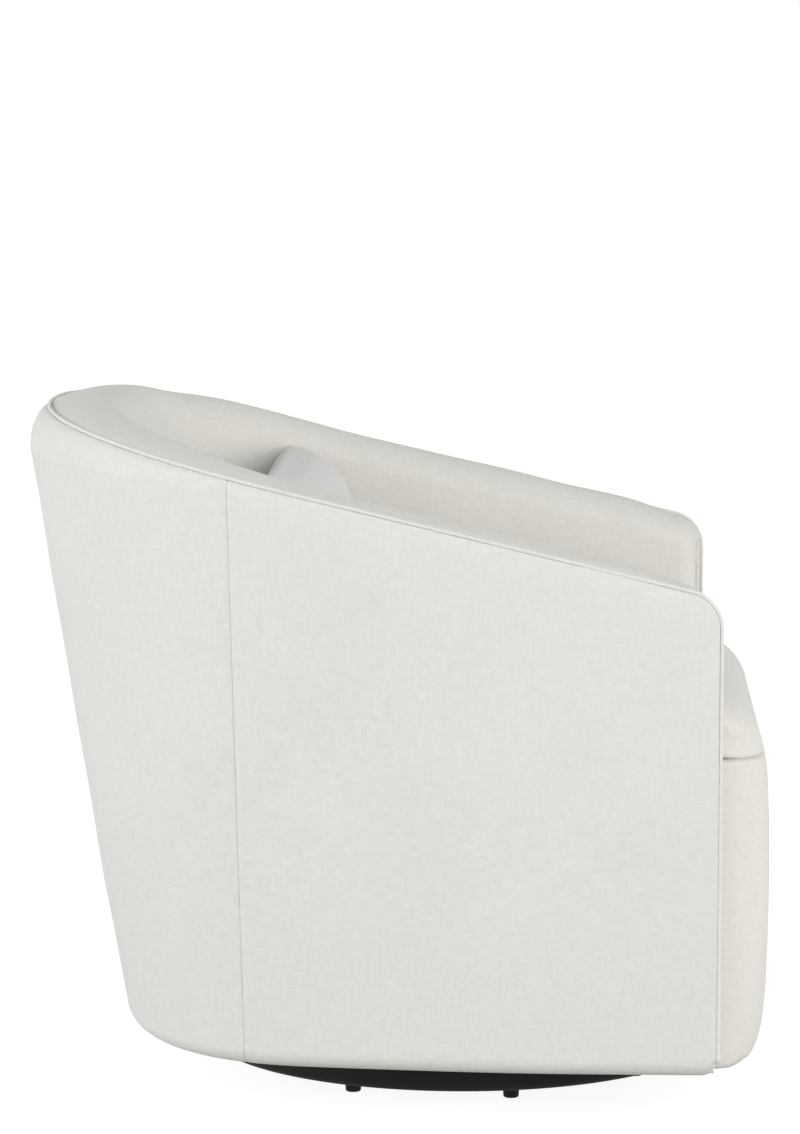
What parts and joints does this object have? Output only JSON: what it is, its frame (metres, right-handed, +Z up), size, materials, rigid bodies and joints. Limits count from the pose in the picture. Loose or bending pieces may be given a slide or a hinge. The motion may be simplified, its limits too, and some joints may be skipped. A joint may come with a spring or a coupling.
{
  "type": "swivel barrel chair",
  "caption": "Upholstered barrel chair with a sloping piped rim, loose seat cushion and lumbar pillow, turning on a round ball-bearing swivel base.",
  "frame": {"origin": "where the swivel axis meets the floor", "axes": "+Z up along the swivel axis, -Y the chair's front, +X to a viewer's right from the front"},
  "size_m": [0.7672, 0.7788, 0.718],
  "materials": {
    "fabric": "flat weave",
    "piping": "flat weave",
    "pillow_fabric": "flat weave",
    "black_base": "satin",
    "black_cloth": "matte",
    "steel": "zinc plated",
    "plywood": "raw birch",
    "webbing": "woven strap",
    "foam": "open cell",
    "nylon": "moulded"
  },
  "bodies": {
    "base": {"base_disc": "black_base", "glides": "black_base", "glide_screws": "steel", "lower_swivel_plate": "steel", "lower_plate_screws": "steel", "pivot_pin": "steel", "pivot_nut": "steel"},
    "bearing": {"ball_cage": "nylon", "bearing_balls": "steel"},
    "seat": {"upper_swivel_plate": "steel", "upper_plate_screws": "steel", "pivot_bush": "nylon", "swivel_board": "plywood", "bearers": "plywood", "bottom_hoop": "plywood", "lower_ribs": "plywood", "seat_hoop": "plywood", "upper_ribs": "plywood", "front_posts": "plywood", "top_rail": "plywood", "apron_frame": "plywood", "corner_blocks": "plywood", "back_webbing": "webbing", "seat_webbing_long": "webbing", "seat_webbing_cross": "webbing", "deck_pad": "foam", "deck_cloth": "fabric", "dust_cover": "black_cloth", "back_foam": "foam", "arm_foam_right": "foam", "arm_foam_left": "foam", "apron_foam": "foam", "outside_back": "fabric", "outside_arm_right": "fabric", "outside_arm_left": "fabric", "inside_back": "fabric", "inside_arm_right": "fabric", "inside_arm_left": "fabric", "arm_facing_right": "fabric", "arm_facing_left": "fabric", "apron_cover": "fabric", "edge_piping": "piping"},
    "cushion": {"cushion_cover": "fabric", "cushion_base_cloth": "fabric", "cushion_core": "foam", "cushion_zip": "nylon"},
    "pillow": {"pillow_front": "pillow_fabric", "pillow_back": "pillow_fabric", "pillow_insert": "foam", "pillow_zip": "nylon"}
  },
  "joints": [
    {"name": "seat_swivel", "type": "hinge", "parent": "base", "child": "seat", "pos_m": [0, 0, 0.0535], "axis": [0, 0, 1], "continuous": true},
    {"name": "cage_spin", "type": "hinge", "parent": "base", "child": "bearing", "pos_m": [0, 0, 0.0535], "axis": [0, 0, 1], "continuous": true},
    {"name": "cushion_lift", "type": "slide", "parent": "seat", "child": "cushion", "axis": [0, 0, 1], "range_m": [0, 0.3]},
    {"name": "pillow_lift", "type": "slide", "parent": "cushion", "child": "pillow", "axis": [0, 0, 1], "range_m": [0, 0.35]}
  ],
  "couplings": [
    {"joint": "cage_spin", "follows": "seat_swivel", "ratio": 0.5}
  ]
}
